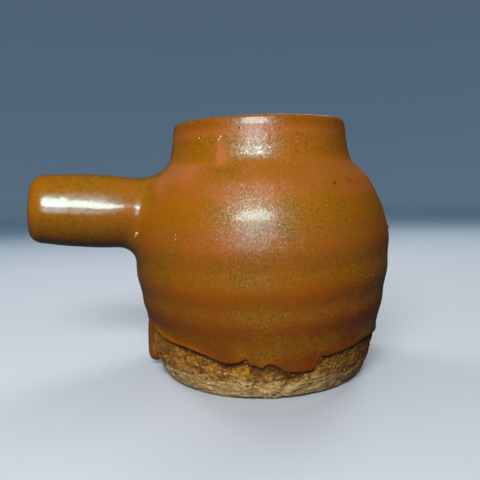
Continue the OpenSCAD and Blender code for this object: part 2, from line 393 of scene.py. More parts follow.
def make_piece(name, points, caps=(), wrap_rows=False, gap=None, layers=None):
    """A mesh from rows of points. Each row in caps closes onto its middle, and no faces follow row gap."""
    rows, cols = points.shape[:2]
    verts = points.reshape(-1, 3)
    bands = grid_faces(rows, cols, wrap_rows).reshape(-1, cols, 4)
    faces = (bands if gap is None else np.delete(bands, gap, axis=0)).reshape(-1, 4).tolist()
    values = {key: np.asarray(value, float).reshape(-1) for key, value in (layers or {}).items()}
    for row in caps:
        middle = len(verts)
        verts = np.vstack([verts, points[row].mean(axis=0)[None, :]])
        values = {key: np.append(v, v[row * cols]) for key, v in values.items()}
        faces += [(row * cols + j, row * cols + (j + 1) % cols, middle) for j in range(cols)]
    return link_mesh(name, verts, faces, values)


def settle(piece, material, slot, *nodes):
    """Gives a piece its material and body, and hides the CAD nodes that it stands for."""
    piece.data.materials.append(material)
    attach(piece, "root")
    if nodes:
        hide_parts(*nodes)
    return piece


def stack(theta, rows):
    """Points from rows of (radius, height), with the lip's sag put in."""
    radius, z = (np.array([np.broadcast_to(row[k], theta.shape) for row in rows]) for k in range(2))
    return around(theta, radius, z + sag(theta, z)), radius, z


# -------- clay pieces


def grain(points):
    """Coarse, crumbly clay: how far its lumps, sand and pits stand out, and how deep in a pit a point is."""
    lumps = rough(points, 4.6, 3, 7, 0.7)
    sand = noise(points, 1.3, 9)
    pits = np.minimum(0.0, rough(points, 2.6, 2, 10, 0.8) + 0.26)
    return 0.75 * lumps + 0.24 * sand + 1.2 * pits, np.clip(-3.0 * pits - 0.6 * np.minimum(lumps, 0), 0, 1)


def crumble(theta, points, share):
    """Pushes rows of points in and out by the clay's grain, and gives the depth of its pits, which the colour
    darkens as painted shade.
    """
    bump, hollow = grain(points)
    points[..., 0] += share * bump * np.cos(theta)
    points[..., 1] += share * bump * np.sin(theta)
    return share * hollow


def seam_height(theta):
    """Top of the foot slab's edge, where the wall was pressed onto it."""
    ring = around(theta, 42.0, 0.0)
    return FOOT_HEIGHT - 0.5 + 0.7 * noise(ring, 9, 9) + 0.4 * noise(ring, 3.2, 3)


def make_foot(material):
    """The slab the pot stands on, with a chipped lower edge and a worn, flat underside."""
    theta = columns(640)
    seam = seam_height(theta)
    rim = around(theta, 38.0, 0.0)
    chip = np.clip(noise(rim, 6, 8) + 0.1 * noise(rim, 1.5, 3), 0, 1)
    rows = [(r, 0.0) for r in (6, 14, 22, 29, 34, 36.4)]
    rows += [(r - 0.7 * chip, z + 0.4 * chip) for r, z in arc(38.0, 0.6, 0.6, -80, 0, 5)]
    for t in np.linspace(0, 1, 25):
        height = mix(0.9, seam - 0.04, t)
        rows.append((clay_radius(theta, height), height))
    rows += [(clay_radius(theta, seam) - back, seam + 0.02 * back) for back in (0.0, 0.12, 0.6, 1.8)]
    rows += [(r, FOOT_HEIGHT - 0.3) for r in (36.0, 20.0)]
    points, radius, z = stack(theta, rows)
    side = smooth((radius - 36.6) / 1.5) * smooth((z - 0.2) / 1.2)
    layers = {"hollow": crumble(theta, points, side), "scorch_and_shadow": 0 * z, "side_shade": side * painted_side_shade(theta, z)}
    points[..., 2] = np.maximum(points[..., 2], 0.0)
    piece = make_piece("clay_foot_slab", points, caps=(0, len(rows) - 1), layers=layers)
    return settle(piece, material, "bare_clay", "foot_disc")


def scorched_and_shadowed(theta, z, points):
    """1 just under the glaze's edge, where the clay fired dark and the bead's painted shadow falls, and 0
    further down.
    """
    below = edge_height(theta) - z
    front = np.exp(-((turn_from(theta, SCORCH_SHADOW_AZIMUTH) / SCORCH_SHADOW_SPREAD) ** 2))
    left = np.clip(-np.cos(theta), 0, 1)
    return 1 - smooth((below + 0.9 * noise(points, 2.6, 2) - 0.4 * left) / (1.5 + 3.6 * front))


def make_belly(material):
    """The thrown wall: rough where it is bare, and plain under the glaze."""
    theta = columns(640)
    rows = []
    low = seam_height(theta) - 0.5
    split = np.clip(0.05 + 0.6 * noise(around(theta, 42.0, 4.0), 8, 2), 0.04, 0.5)
    for t in np.linspace(0, 1, 54):
        height = mix(low, 21.8, t)
        tuck = split * np.exp(-(((height - low) / 0.9) ** 2))
        rows.append((clay_radius(theta, height) - tuck, height))
    bare = len(rows)
    rows += [(clay_radius(theta, z), z) for z in np.linspace(25, COLLAR_FOOT, 16)]
    rows += [(inside_radius(theta, z), z) for z in np.linspace(COLLAR_FOOT, FLOOR_CORNER_Z + 1, 16)]
    rows += corner_rows(theta, 0.0, -6, -60, 7)
    rows.append((rows[-1][0], FOOT_HEIGHT - 0.45))
    points, _, z = stack(theta, rows)
    side = np.zeros_like(z)
    side[:bare] = 1 - smooth((z[:bare] - edge_height(theta) - 0.2) / 1.2)
    scorch_and_shadow = side * scorched_and_shadowed(theta, z, points)
    layers = {"hollow": crumble(theta, points, side), "scorch_and_shadow": scorch_and_shadow, "side_shade": side * painted_side_shade(theta, z)}
    piece = make_piece("clay_belly_wall", points, wrap_rows=True, layers=layers)
    return settle(piece, material, "bare_clay", "belly_wall")


def make_neck(material):
    theta = columns(256)
    rows = [(clay_radius(theta, z), z) for z in np.linspace(COLLAR_FOOT, LIP_START - 0.4, 14)]
    rows += lip_rows(theta, 0.0, 0, 180, 20)
    rows += [(inside_radius(theta, z), z) for z in np.linspace(LIP_HEIGHT - 0.6, COLLAR_FOOT, 14)]
    points, _, _ = stack(theta, rows)
    piece = make_piece("clay_neck_collar", points, wrap_rows=True)
    return settle(piece, material, "bare_clay", "neck_collar")


# -------- handle

ALONG = np.array([-math.cos(HANDLE_RISE), 0, math.sin(HANDLE_RISE)])
UPWARD = np.array([math.sin(HANDLE_RISE), 0, math.cos(HANDLE_RISE)])
SIDEWAYS = np.array([0.0, -1.0, 0.0])


def by_handle(phi, s, rho):
    """Points from the handle's own frame: s along its axis, rho out from it, phi from straight up."""
    phi, s, rho = np.broadcast_arrays(phi, s, rho)
    out = np.cos(phi)[..., None] * UPWARD + np.sin(phi)[..., None] * SIDEWAYS
    rise = HANDLE_Z * np.array([0, 0, 1.0]) + spline(HANDLE_BEND, s)[..., None] * UPWARD
    return rise + s[..., None] * ALONG + rho[..., None] * out


def belly_along(phi, rho):
    """Where the glazed belly lies along the handle's axis, at a distance rho from that axis."""
    phi, rho = np.broadcast_arrays(phi, rho)
    near, far = np.full(phi.shape, 18.0), np.full(phi.shape, 62.0)
    for _ in range(26):
        middle = (near + far) / 2
        p = by_handle(phi, middle, rho)
        theta = np.arctan2(p[..., 1], p[..., 0])
        inside = np.hypot(p[..., 0], p[..., 1]) < glazed_radius(theta, p[..., 2])
        near, far = np.where(inside, middle, near), np.where(inside, far, middle)
    return near


def handle_dents(phi, s):
    """Slow dents left by fingers, and the flat, on the handle and in its fillet."""
    side = spline(HANDLE_SIDE, s)
    depth = np.maximum(side - FLAT_AT, FLAT_DEPTH)
    twist = FLAT_END_TURN * smooth((s - 66) / 10)
    off = phi - (FLAT_PHI - FLAT_ROOT_TURN * smooth((60 - s) / 9) + twist)
    flat = np.exp(-(off**2) * FLATNESS * side / (2 * depth)) * smooth((s - 43) / 4)
    lean = twist * side * off * np.exp(-((off / LEAN_WIDTH) ** 2))
    p = by_handle(phi, s, 13.0)
    uneven = 0.16 * noise(p, 15, 5) + 0.06 * noise(p, 6, 6)
    return uneven * (1 - 0.8 * flat) - depth * flat + lean


def fronting(phi):
    """1 at the handle's front, and 0 at its top, underneath and behind."""
    return np.clip(np.sin(phi), 0, 1) ** 2


def fillet_rows(phi, count):
    """(s, rho, weight of the dents) rows from a skirt under the belly's glaze up to the handle's side.

    It also gives the places along the handle where the fillet ends.
    """
    side = spline(HANDLE_SIDE, np.full(phi.shape, 50.0))
    meet = belly_along(phi, side)
    out = side + FILLET_OUT
    foot_s = belly_along(phi, out)
    slope = (belly_along(phi, out + 0.4) - belly_along(phi, out - 0.4)) / 0.8
    along = FILLET_ALONG * (1 - FILLET_LESS * fronting(phi))
    top_s = meet + along
    top_rho = spline(HANDLE_SIDE, top_s)
    pull = 0.62
    a = np.stack([foot_s, out], -1)
    d = np.stack([top_s, top_rho], -1)
    b = a - pull * FILLET_OUT * np.stack([slope, np.ones_like(slope)], -1)
    c = d - pull * along[:, None] * np.stack([np.ones_like(slope), np.zeros_like(slope)], -1)
    rows = []
    for extra, sink in ((2.2, 0.55), (1.5, 0.26), (0.9, 0.10), (0.4, 0.02)):
        rho = out + extra
        rows.append((belly_along(phi, rho) - sink, rho, 0.0))
    for t in np.linspace(0, 1, count):
        p = (1 - t) ** 3 * a + 3 * t * (1 - t) ** 2 * b + 3 * t * t * (1 - t) * c + t**3 * d
        rows.append((p[..., 0], p[..., 1], float(t)))
    return rows, top_s


def handle_end(phi):
    return HANDLE_END - HANDLE_SLANT * (0.5 + 0.5 * np.cos(phi))


def handle_rows(phi, grow, fine):
    """(s, rho, weight of the dents) rows of the outside, from the skirt to the end's inner corner."""
    rows, top_s = fillet_rows(phi, 22 if fine else 10)
    rows = [(s, rho + grow, w) for s, rho, w in rows]
    long = mix(ROUND_UNDER, ROUND_TOP, 0.5 + 0.5 * np.cos(phi)) + ROUND_FRONT * fronting(phi)
    last = handle_end(phi) - long
    for t in np.linspace(0, 1, 46 if fine else 12)[1:]:
        s = mix(top_s, last, t)
        rows.append((s, spline(HANDLE_SIDE, s) + grow, 1.0))
    across = spline(HANDLE_SIDE, last) - HANDLE_RIM
    for a in np.radians(np.linspace(0, 90, 16 if fine else 8))[1:]:
        s = last + (long + grow) * math.sin(a)
        rows.append((s, HANDLE_RIM + (across + grow) * math.cos(a), math.cos(a)))
    return rows


def handle_points(phi, rows):
    s, rho, weight = (np.array([np.broadcast_to(row[k], phi.shape) for row in rows]) for k in range(3))
    return by_handle(phi, s, rho + weight * handle_dents(phi, s)), s, rho


def lining_rows(phi):
    """Rows of glaze over the end's inner corner and a little way into the hollow."""
    edge = 1.6 + 0.5 * noise(around(phi, 7.0, 0.0), 4, 2)
    turn, inner = 1.1, BORE_RADIUS - 0.35
    start = handle_end(phi) - turn
    rows = []
    for a in np.radians(np.linspace(0, 90, 7)):
        rows.append((start + turn * math.cos(a), inner + turn - turn * math.sin(a), 0.0))
    for back, radius in ((0.6 * edge, inner), (edge, BORE_RADIUS - 0.15), (edge + 0.15, BORE_RADIUS + 0.3)):
        rows.append((start - back, radius, 0.0))
    return rows


def handle_layers(points, phi, s, rho):
    """The glaze's layers on the handle, which go over into the belly's where the fillet meets it."""
    own = {
        "band": -0.9 + 0.8 * noise(points, 12, 4) + 0.9 * smooth((s - 78) / 6),
        # A faint darker ring in the fillet, near the belly.
        "gather": 0.12 * np.exp(-(((rho - 16.5) / 2.6) ** 2)) * (s < 58),
        "thin": 0.5 * smooth((s - 82) / 4) * smooth((rho - 7.0) / 2.5),
        # Painted shade: the handle's underside is painted darker.
        "deep": 0.3 * smooth((0.1 - np.cos(phi)) / 0.8),
        "matt": -1.9,
    }
    belly = glaze_layers(np.arctan2(points[..., 1], points[..., 0]), points[..., 2])
    near = smooth((rho - 14) / 5)
    return {key: mix(own.get(key, 0.0), value, near) for key, value in belly.items()}


def make_handle_glaze(material):
    phi = columns(220)
    back = handle_rows(phi, -HANDLE_GLAZE, False)
    points, s, rho = handle_points(phi, handle_rows(phi, 0.0, True) + lining_rows(phi) + back[::-1])
    piece = make_piece("glaze_handle", points, wrap_rows=True, layers=handle_layers(points, phi, s, rho))
    return settle(piece, material, "amber_glaze", "handle_glaze")


def make_handle_clay(material):
    """Tube and slip together, with the thrower's rings inside the hollow."""
    phi = columns(128)
    rows = [(44.0, 6.0, 0.0), *handle_rows(phi, -HANDLE_GLAZE, False)[3:]]
    rows += [(handle_end(phi) - back, BORE_RADIUS + more, 0.0) for back, more in ((0.7, 0.8), (1.3, 0.1))]
    for s in np.linspace(HANDLE_END - 2.4, BORE_FLOOR + 1.2, 60):
        ridge = 0.16 * np.sin(s * 1.25 + phi) + 0.10 * noise(by_handle(phi, s, 7.5), 2.4, 7)
        rows.append((s, BORE_RADIUS + ridge, 0.0))
    rows += [(BORE_FLOOR + up, BORE_RADIUS - less, 0.0) for up, less in ((0.3, 0.8), (0.0, 2.5))]
    points, _, _ = handle_points(phi, rows)
    piece = make_piece("clay_handle", points, caps=(0, len(rows) - 1))
    return settle(piece, material, "bare_clay", "handle_tube", "handle_slip_fillet")


# -------- glaze pieces


def glaze_layers(theta, z):
    """What the glaze's material needs to know at points of the pot's outside."""
    return {
        "band": band(theta, z),
        # Darker along the glaze's lower edge: thick gathered glaze, and painted shade under the down-facing
        # bead.
        "gather": 1 - smooth((z - edge_height(theta) - 0.1) / 0.9),
        # The deep layer paints the glaze darker towards the bottom and on the right side: partly rustier
        # glaze, partly painted shade.
        "deep": np.clip(0.85 * (1 - smooth((z - 8) / 48)) + painted_side_shade(theta, z), 0, 1),
        "thin": smooth((z - 89.5) / 3.5),
        "grit": between(z, 80, 2, 90, 1.2),
        "blush_and_sheen": blush_and_sheen(theta, z),
        "matt": matt(theta, z),
    }


def plain_layers(z, **values):
    """The same layers where most of them are 0."""
    names = ("band", "gather", "deep", "thin", "grit", "blush_and_sheen", "matt")
    return {key: np.broadcast_to(values.get(key, 0.0), z.shape) for key in names}


def painted_side_shade(theta, z):
    """Painted shade: how much darker clay and glaze are painted on the right side, more so low down."""
    side = between(turn_from(theta, 0), -98, 45, 5, 60)
    return side * (0.62 - 0.32 * smooth((z - 14) / 50) - 0.2 * smooth((z - 62) / 14))


def matt(theta, z):
    """1 where the glaze dried to a satin skin: in the rust under the shoulder, and low on the pot.

    It is 0 in the ordinary glaze, and below 0 on the handle and the drip, which are glossier.
    """
    z = z - drift(theta, z) + 0.6 * noise(around(theta, 48.0, z), 5, 8)
    under = between(z, 44, 5, 58.5, 2.5)
    shoulder = between(z, 68, 3, 78, 3)
    low = between(z, 22, 4, 32, 6)
    return np.clip(under + 0.8 * shoulder + 0.5 * low, 0, 1)


def blush_and_sheen(theta, z):
    """Pinkish, unflecked glaze: a streak on the neck and a ring under the lip, and painted sheen in a patch
    on the neck and on the shoulder.
    """
    turn = turn_from(theta, STREAK_AZIMUTH + 0.25 * (88 - z))
    wide = 2.4 + 0.28 * (88 - np.clip(z, 78, 88))
    streak = np.exp(-((turn / wide) ** 2)) * between(z, 77.5, 3, 87.2, 1.5)
    patch = np.exp(-((turn_from(theta, PATCH_AZIMUTH) / PATCH_SPREAD) ** 4)) * between(z, 78, 3, 88, 2)
    collar = np.exp(-(((z - 90.6) / 1.7) ** 2))
    cloud = smooth(0.5 + 0.9 * noise(around(theta, 46.0, z), 14, 4))
    shoulder = between(z, 67, 4, 78, 3) * cloud
    return np.clip(0.95 * streak + 0.6 * collar + 0.9 * shoulder + 0.2 * patch, 0, 1.1)


def make_outside_glaze(material):
    """Glaze over belly, neck and lip, down to its lobed and rolled lower edge."""
    theta = columns(480)
    edge = edge_height(theta)
    heights = [edge + up for up in (0.0, 0.05, 0.14, 0.27, 0.45, 0.68, 0.95, 1.3, 1.7, 2.2, 2.8, 3.5)]
    top = 30.0
    heights += [mix(heights[11], top, t) for t in np.linspace(0, 1, 34)[1:]]
    heights += list(np.linspace(top, LIP_START - 0.3, 106)[1:])
    rows = [(clay_radius(theta, z) + glaze_depth(theta, z, edge), z) for z in heights]
    rows += lip_rows(theta, INNER_GLAZE, 0, 90, 19)
    rows += lip_rows(theta, -0.1, 90, 0, 7)
    for t in np.linspace(0, 1, 18):
        z = mix(LIP_START - 0.4, edge + 0.05, t)
        rows.append((clay_radius(theta, z) - 0.15, z))
    points, _, z = stack(theta, rows)
    piece = make_piece("glaze_outside", points, wrap_rows=True, layers=glaze_layers(theta, z))
    return settle(piece, material, "amber_glaze", "outer_glaze", "glaze_runs")


def make_inside_glaze(material):
    theta = columns(360)
    rows = lip_rows(theta, INNER_GLAZE, 90, 176, 10)
    rows += inside_rows(theta, INNER_GLAZE, 110)
    seam = len(rows)
    rows += inside_rows(theta, -0.1, 16)[::-1]
    rows += lip_rows(theta, -0.1, 176, 90, 5)
    points, _, z = stack(theta, rows)
    # The inside's glaze darkens towards its floor.
    gather, thin = 0.5 * (1 - smooth((z - 7.5) / 5)), smooth((z - 90.5) / 3.0)
    layers = plain_layers(z, band=band(theta + 0.6, z + 3), gather=gather, thin=thin, grit=0.4)
    caps = (seam - 1, seam)
    piece = make_piece("glaze_inside", points, caps, wrap_rows=True, gap=seam - 1, layers=layers)
    return settle(piece, material, "inner_glaze", "inner_glaze")


def make_drip(material):
    """The long drip: it leaves the glaze, hangs clear of the foot and ends in a heavy drop."""
    azimuth = math.radians(DRIP_AZIMUTH)
    outward = np.array([math.cos(azimuth), math.sin(azimuth), 0.0])
    across = np.array([-math.sin(azimuth), math.cos(azimuth), 0.0])
    turn = columns(64)
    rows = []
    for place in np.linspace(0, len(DRIP) - 1, 70):
        z, out, wide, deep = (float(spline(list(enumerate(c)), place)) for c in zip(*DRIP))
        x = out + deep * np.cos(turn)
        y = wide * np.sin(turn) + 0.25 * math.sin(z * 0.5)
        rows.append(x[:, None] * outward + y[:, None] * across + (0.0, 0.0, z))
    points = np.array(rows)
    layers = plain_layers(points[..., 2], band=-0.6, deep=0.5, matt=-1.5)
    piece = make_piece("glaze_drip", points, caps=(0, len(rows) - 1), layers=layers)
    return settle(piece, material, "dark_glaze", "glaze_drip")


# Grains that melted into the glaze or stand out of it: (azimuth, height, half width, height above it)
CREAM_GRAINS = (
    (-127.7, 88.7, 0.55, 0.34), (-128.6, 87.9, 0.4, 0.26), (-142.5, 88.9, 0.34, 0.2),
    (-140.0, 56.7, 0.26, 0.10), (-139.5, 56.0, 0.20, 0.08), (-139.7, 55.2, 0.30, 0.10),
)
IRON_GRAINS = (
    (-26.0, 55.0, 0.55, 0.45), (-60.2, 73.7, 0.5, 0.10), (-58.8, 73.0, 0.55, 0.10), (-69.8, 72.2, 0.6, 0.08),
    (-69.7, 30.4, 0.5, 0.08), (-116.0, 91.4, 0.34, 0.08), (-93.0, 91.0, 0.3, 0.06),
)
# Two more of the pale ones lie in the handle's fillet: (x, y, z, half width, height above it)
FILLET_GRAINS = ((-49.9, -13.6, 55.6, 0.7, 0.5), (-49.9, -12.8, 54.7, 0.55, 0.4))


def on_pot(azimuth, z):
    """A point of the glazed wall, and the wall's outward direction there."""
    def at(turn, height):
        turn, height = np.array(turn), np.array(height)
        return around(turn, glazed_radius(turn, height), height + sag(turn, height))
    turn, small = math.radians(azimuth), 0.004
    east = at(turn + small, z) - at(turn - small, z)
    up = at(turn, z + 0.2) - at(turn, z - 0.2)
    normal = np.cross(east, up)
    return at(turn, z), normal / np.linalg.norm(normal)


def scattered(seed, count, smallest, largest):
    """More grains all round the pot, for the sides that aren't described one by one."""
    rng = np.random.default_rng(seed)
    sizes = smallest + (largest - smallest) * rng.random(count) ** 2
    return tuple((rng.uniform(-180, 180), rng.uniform(26, 91), size, 0.25 * size) for size in sizes)


def make_grains(name, material, places):
    """Small knobbly grains, each sunk to its waist in the glaze."""
    bm = bmesh.new()
    bmesh.ops.create_icosphere(bm, subdivisions=2, radius=1.0)
    ball = np.array([v.co[:] for v in bm.verts])
    sides = [[v.index for v in f.verts] for f in bm.faces]
    bm.free()
    verts, faces = [], []
    for number, (middle, normal, wide, high) in enumerate(places):
        east = np.cross((0.0, 0.0, 1.0), normal)
        east /= np.linalg.norm(east)
        axes = np.stack([wide * east, wide * np.cross(normal, east), high * normal])
        lump = ball * (1 + 0.28 * noise(ball + 3.7 * number, 1.1, 3))[:, None]
        faces += [[len(verts) * len(ball) + k for k in side] for side in sides]
        verts.append(middle + lump @ axes)
    return settle(link_mesh(name, np.concatenate(verts), faces), material, "amber_glaze")


def make_all_grains(cream, iron, handle):
    pale = [(*on_pot(a, z), w, h) for a, z, w, h in CREAM_GRAINS + scattered(4, 26, 0.12, 0.26)]
    dark = [(*on_pot(a, z), w, h) for a, z, w, h in IRON_GRAINS + scattered(9, 34, 0.12, 0.32)]
    bpy.context.view_layer.update()
    for x, y, z, wide, high in FILLET_GRAINS:
        _, spot, normal, _ = handle.closest_point_on_mesh(Vector((x, y, z)) * MM)
        pale.append((np.array(spot) / MM, np.array(normal), wide, high))
    make_grains("grains_cream", cream, pale)
    make_grains("grains_iron", iron, dark)


# -------- materials


def srgb(r, g, b):
    """A display colour, 0 to 255, as the linear colour that a shader takes."""
    def line(c):
        c /= 255
        return c / 12.92 if c <= 0.04045 else ((c + 0.055) / 1.055) ** 2.4
    return (line(r), line(g), line(b), 1.0)


OLIVE_AMBER, AMBER, RUST = srgb(152, 102, 2), srgb(168, 101, 2), srgb(179, 97, 3)
BLUSH_AND_SHEEN, DRY_SPECK = srgb(202, 112, 56), srgb(146, 82, 44)
OLIVE_FLECK, OLIVE_CLUMP, LIGHT_FLECK = srgb(78, 72, 10), srgb(98, 84, 8), srgb(204, 152, 56)
IRON_DOT, PALE_DOT = srgb(66, 34, 10), srgb(226, 176, 110)
RUST_AND_SHADE, THIN_GLAZE, RIM_FLECK = srgb(114, 46, 1), srgb(164, 88, 10), srgb(92, 72, 10)
GATHERED_AND_SHADE, DARK_GLAZE_AND_SHADE = srgb(84, 40, 8), srgb(92, 50, 14)

PALE_CLAY, SANDY_CLAY = srgb(250, 194, 112), srgb(255, 228, 166)
BROWN_CLAY, GOLD_CLAY = srgb(160, 100, 27), srgb(210, 141, 44)
CREVICE_SHADE, PIT_SPOT_SHADE, HOLLOW_SHADE = srgb(98, 64, 26), srgb(58, 36, 14), srgb(74, 46, 22)
SAND, CRUMB = srgb(226, 192, 128), srgb(240, 204, 134)
SCORCH_AND_SHADOW, SIDE_SHADE = srgb(70, 38, 20), srgb(92, 54, 20)

CREAM, DARK_CREAM = srgb(238, 200, 138), srgb(206, 144, 76)
IRON, PALE_IRON = srgb(78, 34, 10), srgb(132, 60, 16)
NEAR_FLOOR, FAR_FLOOR = srgb(206, 214, 224), srgb(104, 126, 146)


class Nodes:
    """A node tree, with short calls for adding to it."""

    def __init__(self, owner):
        owner.use_nodes = True
        self.tree = owner.node_tree

    def feed(self, socket, value):
        if isinstance(value, bpy.types.NodeSocket):
            self.tree.links.new(value, socket)
        else:
            socket.default_value = value

    def node(self, kind, sockets=None, **settings):
        """A new node with its settings, and with what goes into its sockets, by name or number."""
        made = self.tree.nodes.new("ShaderNode" + kind)
        for key, value in settings.items():
            setattr(made, key, value)
        for key, value in (sockets or {}).items():
            self.feed(made.inputs[key], value)
        return made

    def span(self, value, low, high, to_low=0.0, to_high=1.0, shape="SMOOTHSTEP"):
        """Turns low to high into to_low to to_high, and stays level beyond."""
        sockets = {"Value": value, "From Min": low, "From Max": high, "To Min": to_low, "To Max": to_high}
        return self.node("MapRange", sockets, interpolation_type=shape).outputs["Result"]


class Shader(Nodes):
    """A material, with one short call for each kind of node used here."""

    def __init__(self, name):
        self.material = bpy.data.materials.new(name)
        super().__init__(self.material)
        self.bsdf = self.tree.nodes["Principled BSDF"]
        self.place = self.node("TexCoord").outputs["Object"]

    def scaled(self, *factors):
        return self.node("Mapping", {"Vector": self.place, "Scale": factors}).outputs["Vector"]

    def noise(self, size_mm, detail=2.0, roughness=0.5, vector=None):
        sockets = {"Vector": vector or self.place, "Scale": 1 / (size_mm * MM)}
        return self.node("TexNoise", {**sockets, "Detail": detail, "Roughness": roughness}).outputs["Fac"]

    def cells(self, size_mm, output="Distance"):
        sockets = {"Vector": self.place, "Scale": 1 / (size_mm * MM)}
        return self.node("TexVoronoi", sockets).outputs[output]

    def layer(self, name):
        return self.node("Attribute", attribute_name=name).outputs["Fac"]

    def math(self, operation, a, b):
        return self.node("Math", {0: a, 1: b}, operation=operation).outputs[0]

    def times(self, a, b):
        return self.math("MULTIPLY", a, b)

    def mix(self, share, a, b):
        return self.node("Mix", {"Factor": share, 6: a, 7: b}, data_type="RGBA").outputs[2]

    def bump(self, height, distance_mm, strength, under=None):
        sockets = {"Strength": strength, "Distance": distance_mm * MM, "Height": height}
        if under:
            sockets["Normal"] = under
        return self.node("Bump", sockets).outputs["Normal"]

    def vector(self, operation, sockets):
        return self.node("VectorMath", sockets, operation=operation).outputs

    def facets(self, size_mm, tilt, under=None):
        """A normal that is tilted at random from one fine crystal to the next."""
        under = under or self.node("NewGeometry").outputs["Normal"]
        lean = self.vector("SUBTRACT", {0: self.cells(size_mm, "Color"), 1: (0.5, 0.5, 0.5)})[0]
        lean = self.vector("SCALE", {0: lean, "Scale": tilt})[0]
        return self.vector("NORMALIZE", {0: self.vector("ADD", {0: under, 1: lean})[0]})[0]

    def set(self, **sockets):
        names = {"color": "Base Color", "roughness": "Roughness", "normal": "Normal", "ior": "IOR",
                 "coat": "Coat Weight", "coat_roughness": "Coat Roughness", "coat_normal": "Coat Normal",
                 "coat_ior": "Coat IOR", "specular": "Specular IOR Level", "specular_tint": "Specular Tint"}
        for key, value in sockets.items():
            self.feed(self.bsdf.inputs[names[key]], value)
        return self.material


def glaze_tone(s):
    """Rusty above 0 and olive below: the rings' bands, broken up by drifts, patches and mottling."""
    tone = s.times(s.layer("band"), 0.22)
    for share, size, detail, roughness in ((1.1, 24, 2, 0.5), (0.75, 6.0, 4, 0.6), (0.9, 1.1, 3, 0.65)):
        part = s.math("SUBTRACT", s.noise(size, detail, roughness), 0.5)
        tone = s.math("ADD", tone, s.times(part, share))
    return tone


def melt_color(s, tone):
    """Rust where the melt ran thin, amber between, olive where it pooled, and pinkish where it blushed and
    where sheen is painted.
    """
    color = s.mix(s.span(tone, -0.50, 0.02), OLIVE_AMBER, AMBER)
    color = s.mix(s.span(tone, -0.02, 0.42), color, RUST)
    color = s.mix(s.times(s.layer("blush_and_sheen"), 0.8), color, BLUSH_AND_SHEEN)
    specks = s.span(s.noise(0.55, 3, 0.7), 0.46, 0.58, 0.05, 0.48)
    return s.mix(s.times(s.span(s.layer("matt"), 0.0, 1.0), specks), color, DRY_SPECK)


def add_flecks(s, color, tone):
    """Fine flecks where the glaze pooled or holds grit, and sparse dots all over."""
    pooled = s.math("MAXIMUM", s.span(tone, -0.45, 0.25, 1.0, 0.25), s.times(s.layer("grit"), 0.85))
    pooled = s.times(pooled, s.span(s.layer("blush_and_sheen"), 0.0, 1.0, 1.0, 0.25))
    fleck = s.span(s.noise(0.62, 3, 0.7), 0.51, 0.64)
    clump = s.span(s.noise(1.6, 3, 0.7), 0.53, 0.62)
    light = s.span(s.noise(0.7, 3, 0.7, s.scaled(1.07, 0.94, 1.0)), 0.53, 0.68)
    marks = ((fleck, 0.82, OLIVE_FLECK), (clump, 0.4, OLIVE_CLUMP), (light, 0.4, LIGHT_FLECK))
    for spots, share, paint in marks:
        color = s.mix(s.times(s.times(spots, pooled), share), color, paint)
    dark = s.times(s.span(s.cells(2.4), 0.0, 0.16, 1.0, 0.0), s.span(s.noise(5), 0.56, 0.62))
    pale = s.times(s.span(s.cells(3.1), 0.0, 0.10, 1.0, 0.0), s.span(s.noise(7), 0.55, 0.60))
    color = s.mix(s.times(dark, 0.75), color, IRON_DOT)
    return s.mix(s.times(pale, 0.7), color, PALE_DOT)


def glaze_color(s, depth):
    """The glaze's whole colour, where depth is how much darker it is all over: painted shade on the inside,
    and the drip's own darker, thicker glaze.
    """
    tone = glaze_tone(s)
    color = add_flecks(s, melt_color(s, tone), tone)
    # Painted shade, partly rust: where the deep layer is high, the glaze is mixed towards a dark rust.
    rust_and_shade = s.times(s.layer("deep"), s.span(tone, -0.30, 0.15, 0.26, 0.82))
    color = s.mix(rust_and_shade, color, RUST_AND_SHADE)
    color = s.mix(s.times(s.layer("thin"), 0.7), color, THIN_GLAZE)
    rim = s.times(s.span(s.layer("thin"), 0.86, 1.0), s.span(s.noise(0.7, 3, 0.7), 0.46, 0.62))
    color = s.mix(s.times(rim, 0.65), color, RIM_FLECK)
    # Painted shade, partly thick glaze: the glaze darkens at its lower edge.
    color = s.mix(s.times(s.layer("gather"), 0.75), color, GATHERED_AND_SHADE)
    return s.mix(depth, color, DARK_GLAZE_AND_SHADE) if depth else color


def glaze_material(name, depth=0.0):
    """Amber ash glaze: a glossy skin over fine crystals, with orange peel, pinholes and grit."""
    s = Shader(name)
    facets = s.facets(0.7, s.math("ADD", s.times(s.layer("grit"), 0.055), 0.016))
    peel = s.bump(s.noise(2.6), 0.10, 0.35, facets)
    skin = s.bump(s.span(s.cells(1.9), 0.0, 0.12), 0.05, 0.35, peel)
    crystals = s.bump(s.noise(0.5, 3, 0.7), 0.05, 0.6, skin)
    crystals = s.facets(0.42, s.span(s.layer("matt"), -0.3, 0.1, 0.0, 0.18), crystals)
    satin = s.span(s.noise(2.2, 3, 0.6), 0.35, 0.7, 0.31, 0.38)
    satin = s.math("ADD", satin, s.times(s.layer("matt"), 0.04))
    broken = s.span(s.noise(1.0), 0.50, 0.60, 0.45, 2.6)
    glassy = s.math("SUBTRACT", 0.20, s.times(s.layer("matt"), 0.13))
    glassy = s.times(glassy, s.span(s.layer("grit"), 0.0, 1.0, 1.0, broken))
    return s.set(
        color=glaze_color(s, depth), roughness=satin, normal=crystals, ior=1.5, specular=0.6,
        specular_tint=(0.55, 0.85, 1.0, 1), coat=glassy, coat_roughness=0.10, coat_ior=1.6, coat_normal=skin,
    )


